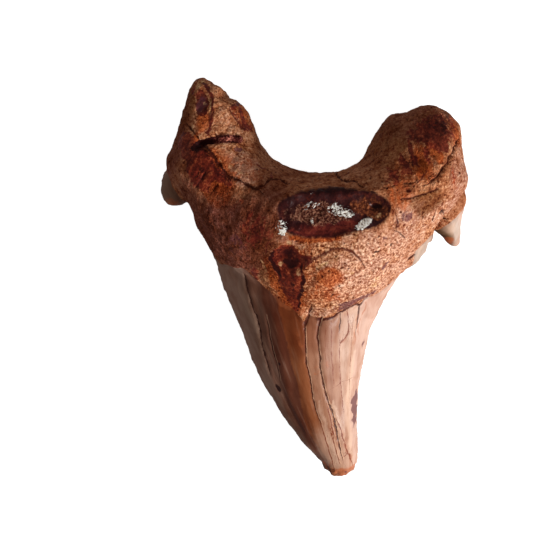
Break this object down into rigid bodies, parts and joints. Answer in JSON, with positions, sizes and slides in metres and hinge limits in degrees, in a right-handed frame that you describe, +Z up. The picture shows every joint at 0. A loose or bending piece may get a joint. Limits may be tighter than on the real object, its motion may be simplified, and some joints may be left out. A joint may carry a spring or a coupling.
{
  "type": "fossil shark tooth",
  "caption": "Fossil shark tooth with a leaning pointed crown, small side cusps and a thick forked root, lying on its flat outer face.",
  "frame": {"origin": "on the resting surface, under the middle of the bounding box", "axes": "+Z up from the surface that the tooth lies on, +Y from the crown's tip towards the root, +X across the root"},
  "size_m": [0.0418, 0.0578, 0.0153],
  "materials": {
    "fossil_tooth": "mineralised tooth: porous tan to rust-brown root with dark glossy stains, and smooth cracked enamel on the crown"
  },
  "bodies": {
    "root": {"tooth": "fossil_tooth"}
  },
  "joints": []
}
